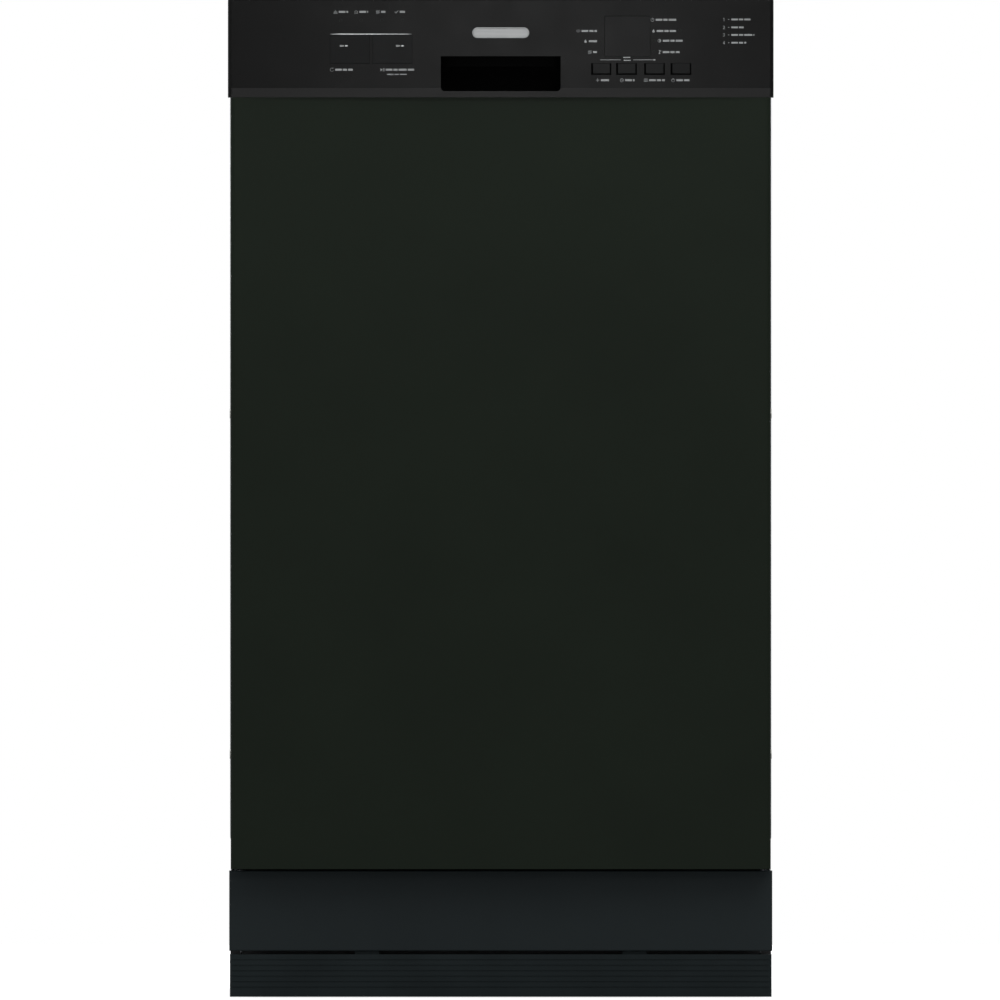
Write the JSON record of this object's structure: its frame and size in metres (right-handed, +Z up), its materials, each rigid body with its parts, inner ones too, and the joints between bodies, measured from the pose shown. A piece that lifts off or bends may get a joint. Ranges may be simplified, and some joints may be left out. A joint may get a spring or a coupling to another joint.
{
  "type": "built-in dishwasher",
  "caption": "Slim built-in dishwasher with a black drop-down door, bowed control fascia with handle recess, sliding racks, spray arms, pump set, access panel and toe kick.",
  "frame": {"origin": "middle of the footprint, on the floor under the levelling feet", "axes": "+X to the right seen from the front, -Y out of the door, +Z up"},
  "size_m": [0.448, 0.57, 0.82],
  "materials": {
    "black_plastic": "satin, fine grain",
    "black_gloss": "polished, smoked",
    "black_paint": "satin enamel",
    "stainless": "fine brushed",
    "galvanised": "galvanised sheet",
    "zinc_screw": "zinc plated",
    "spring_steel": "oiled wire",
    "rack_coating": "smooth nylon coating",
    "grey_plastic": "moulded polypropylene",
    "dark_plastic": "moulded polypropylene",
    "white_plastic": "moulded, matt",
    "rubber_seal": "soft moulded",
    "felt": "needled felt",
    "heater_steel": "heat tinted",
    "circuit_board": "solder mask"
  },
  "bodies": {
    "cabinet": {"base_tray": "dark_plastic", "left_side_panel": "galvanised", "right_side_panel": "galvanised", "side_screws": "zinc_screw", "rear_frame": "galvanised", "top_brace": "galvanised", "tub_shell": "stainless", "tub_floor": "stainless", "door_seal": "rubber_seal", "sound_blanket": "felt", "hinge_brackets": "galvanised", "hinge_springs": "spring_steel", "sump_bowl": "dark_plastic", "coarse_filter": "stainless", "heater_loop": "heater_steel", "circulation_pump": "dark_plastic", "drain_pump": "dark_plastic", "inlet_valve": "white_plastic", "junction_box": "white_plastic", "rear_feed_pipe": "grey_plastic", "roller_mounts": "zinc_screw", "access_panel": "black_paint"},
    "door": {"door_panel": "black_paint", "door_liner": "stainless", "liner_screws": "zinc_screw", "control_fascia": "black_plastic", "light_guides": "black_gloss", "control_board": "circuit_board", "handle_pocket": "black_plastic", "hinge_arms": "galvanised", "detergent_dispenser": "grey_plastic"},
    "lower_rack": {"lower_rack": "rack_coating", "cutlery_basket": "grey_plastic"},
    "upper_rack": {"upper_rack": "rack_coating", "upper_feed_tube": "grey_plastic"},
    "latch_lever": {"latch_lever": "black_plastic"},
    "latch_hook": {"latch_hook": "galvanised"},
    "detergent_lid": {"detergent_lid": "grey_plastic"},
    "rinse_aid_cap": {"rinse_aid_cap": "grey_plastic"},
    "lower_front_wheels": {"lower_front_wheels": "grey_plastic"},
    "lower_rear_wheels": {"lower_rear_wheels": "grey_plastic"},
    "upper_front_rollers": {"upper_front_rollers": "grey_plastic"},
    "upper_rear_rollers": {"upper_rear_rollers": "grey_plastic"},
    "cup_shelf": {"cup_shelf": "rack_coating"},
    "upper_spray_arm": {"upper_spray_arm": "grey_plastic"},
    "lower_spray_arm": {"lower_spray_arm": "grey_plastic"},
    "float_dome": {"float_dome": "grey_plastic"},
    "micro_filter": {"micro_filter": "stainless"},
    "pump_impeller": {"pump_impeller": "white_plastic"},
    "toe_kick": {"toe_kick": "black_plastic"},
    "program_button": {"program_button": "black_plastic"},
    "start_button": {"start_button": "black_plastic"},
    "extra_button": {"extra_button": "black_plastic"},
    "delay_button": {"delay_button": "black_plastic"},
    "options_button": {"options_button": "black_plastic"},
    "power_button": {"power_button": "black_plastic"},
    "foot_front_left": {"foot_front_left": "dark_plastic"},
    "foot_front_right": {"foot_front_right": "dark_plastic"},
    "foot_rear_left": {"foot_rear_left": "dark_plastic"},
    "foot_rear_right": {"foot_rear_right": "dark_plastic"}
  },
  "joints": [
    {"name": "door_hinge", "type": "hinge", "parent": "cabinet", "child": "door", "pos_m": [0, -0.255, 0.118], "axis": [1, 0, 0], "range_deg": [0, 90], "stiffness_Nm_per_rad": 12, "deforming": ["hinge_springs"]},
    {"name": "latch_lever_pull", "type": "hinge", "parent": "door", "child": "latch_lever", "pos_m": [0, -0.2705, 0.7915], "axis": [-1, 0, 0], "range_deg": [0, 15], "stiffness_Nm_per_rad": 0.4},
    {"name": "latch_hook_lift", "type": "hinge", "parent": "door", "child": "latch_hook", "pos_m": [0, -0.262, 0.808], "axis": [1, 0, 0], "range_deg": [0, 7]},
    {"name": "program_button_press", "type": "slide", "parent": "door", "child": "program_button", "axis": [0, 1, 0], "range_m": [0, 0.0012], "stiffness_N_per_m": 800},
    {"name": "start_button_press", "type": "slide", "parent": "door", "child": "start_button", "axis": [0, 1, 0], "range_m": [0, 0.0012], "stiffness_N_per_m": 800},
    {"name": "extra_button_press", "type": "slide", "parent": "door", "child": "extra_button", "axis": [0, 1, 0], "range_m": [0, 0.0012], "stiffness_N_per_m": 800},
    {"name": "delay_button_press", "type": "slide", "parent": "door", "child": "delay_button", "axis": [0, 1, 0], "range_m": [0, 0.0012], "stiffness_N_per_m": 800},
    {"name": "options_button_press", "type": "slide", "parent": "door", "child": "options_button", "axis": [0, 1, 0], "range_m": [0, 0.0012], "stiffness_N_per_m": 800},
    {"name": "power_button_press", "type": "slide", "parent": "door", "child": "power_button", "axis": [0, 1, 0], "range_m": [0, 0.0012], "stiffness_N_per_m": 800},
    {"name": "detergent_lid_open", "type": "hinge", "parent": "door", "child": "detergent_lid", "pos_m": [0.035, -0.2166, 0.3695], "axis": [-1, 0, 0], "range_deg": [0, 95]},
    {"name": "rinse_aid_cap_twist", "type": "hinge", "parent": "door", "child": "rinse_aid_cap", "pos_m": [0.105, -0.2206, 0.415], "axis": [0, 1, 0], "range_deg": [0, 90]},
    {"name": "lower_rack_slide", "type": "slide", "parent": "cabinet", "child": "lower_rack", "axis": [0, -1, 0], "range_m": [0, 0.1302]},
    {"name": "upper_rack_slide", "type": "slide", "parent": "cabinet", "child": "upper_rack", "axis": [0, -1, 0], "range_m": [0, 0.3302]},
    {"name": "lower_front_wheels_roll", "type": "hinge", "parent": "lower_rack", "child": "lower_front_wheels", "pos_m": [0, -0.128, 0.1673], "axis": [1, 0, 0], "range_deg": [-450, 450]},
    {"name": "lower_rear_wheels_roll", "type": "hinge", "parent": "lower_rack", "child": "lower_rear_wheels", "pos_m": [0, 0.15, 0.1673], "axis": [1, 0, 0], "range_deg": [-450, 450]},
    {"name": "upper_front_rollers_roll", "type": "hinge", "parent": "cabinet", "child": "upper_front_rollers", "pos_m": [0, -0.195, 0.548], "axis": [1, 0, 0], "range_deg": [-3500, 3500]},
    {"name": "upper_rear_rollers_roll", "type": "hinge", "parent": "cabinet", "child": "upper_rear_rollers", "pos_m": [0, -0.14, 0.548], "axis": [1, 0, 0], "range_deg": [-3500, 3500]},
    {"name": "cup_shelf_fold", "type": "hinge", "parent": "upper_rack", "child": "cup_shelf", "pos_m": [-0.1775, 0.01, 0.5865], "axis": [0, -1, 0], "range_deg": [0, 80]},
    {"name": "upper_spray_arm_spin", "type": "hinge", "parent": "upper_rack", "child": "upper_spray_arm", "pos_m": [0, 0.011, 0.4625], "axis": [0, 0, 1], "continuous": true},
    {"name": "lower_spray_arm_spin", "type": "hinge", "parent": "cabinet", "child": "lower_spray_arm", "pos_m": [0, 0.011, 0.1675], "axis": [0, 0, 1], "continuous": true},
    {"name": "float_rise", "type": "slide", "parent": "cabinet", "child": "float_dome", "axis": [0, 0, 1], "range_m": [0, 0.008]},
    {"name": "micro_filter_twist", "type": "hinge", "parent": "cabinet", "child": "micro_filter", "pos_m": [0.075, -0.06, 0.12], "axis": [0, 0, 1], "range_deg": [0, 35]},
    {"name": "pump_impeller_spin", "type": "hinge", "parent": "cabinet", "child": "pump_impeller", "pos_m": [-0.03, -0.06, 0.08], "axis": [1, 0, 0], "continuous": true},
    {"name": "toe_kick_drop", "type": "slide", "parent": "cabinet", "child": "toe_kick", "axis": [0, 0, -1], "range_m": [0, 0.05]},
    {"name": "foot_front_left_extend", "type": "slide", "parent": "cabinet", "child": "foot_front_left", "axis": [0, 0, -1], "range_m": [0, 0.05]},
    {"name": "foot_front_right_extend", "type": "slide", "parent": "cabinet", "child": "foot_front_right", "axis": [0, 0, -1], "range_m": [0, 0.05]},
    {"name": "foot_rear_left_extend", "type": "slide", "parent": "cabinet", "child": "foot_rear_left", "axis": [0, 0, -1], "range_m": [0, 0.05]},
    {"name": "foot_rear_right_extend", "type": "slide", "parent": "cabinet", "child": "foot_rear_right", "axis": [0, 0, -1], "range_m": [0, 0.05]}
  ],
  "couplings": [
    {"joint": "latch_hook_lift", "follows": "latch_lever_pull", "ratio": 0.4667},
    {"joint": "lower_rack_slide", "follows": "door_hinge", "m_per_rad": 0.0828},
    {"joint": "upper_rack_slide", "follows": "door_hinge", "m_per_rad": 0.21},
    {"joint": "lower_front_wheels_roll", "follows": "door_hinge", "ratio": 4.8706},
    {"joint": "lower_rear_wheels_roll", "follows": "door_hinge", "ratio": 4.8706},
    {"joint": "upper_front_rollers_roll", "follows": "door_hinge", "ratio": 38.182},
    {"joint": "upper_rear_rollers_roll", "follows": "door_hinge", "ratio": 38.182}
  ]
}
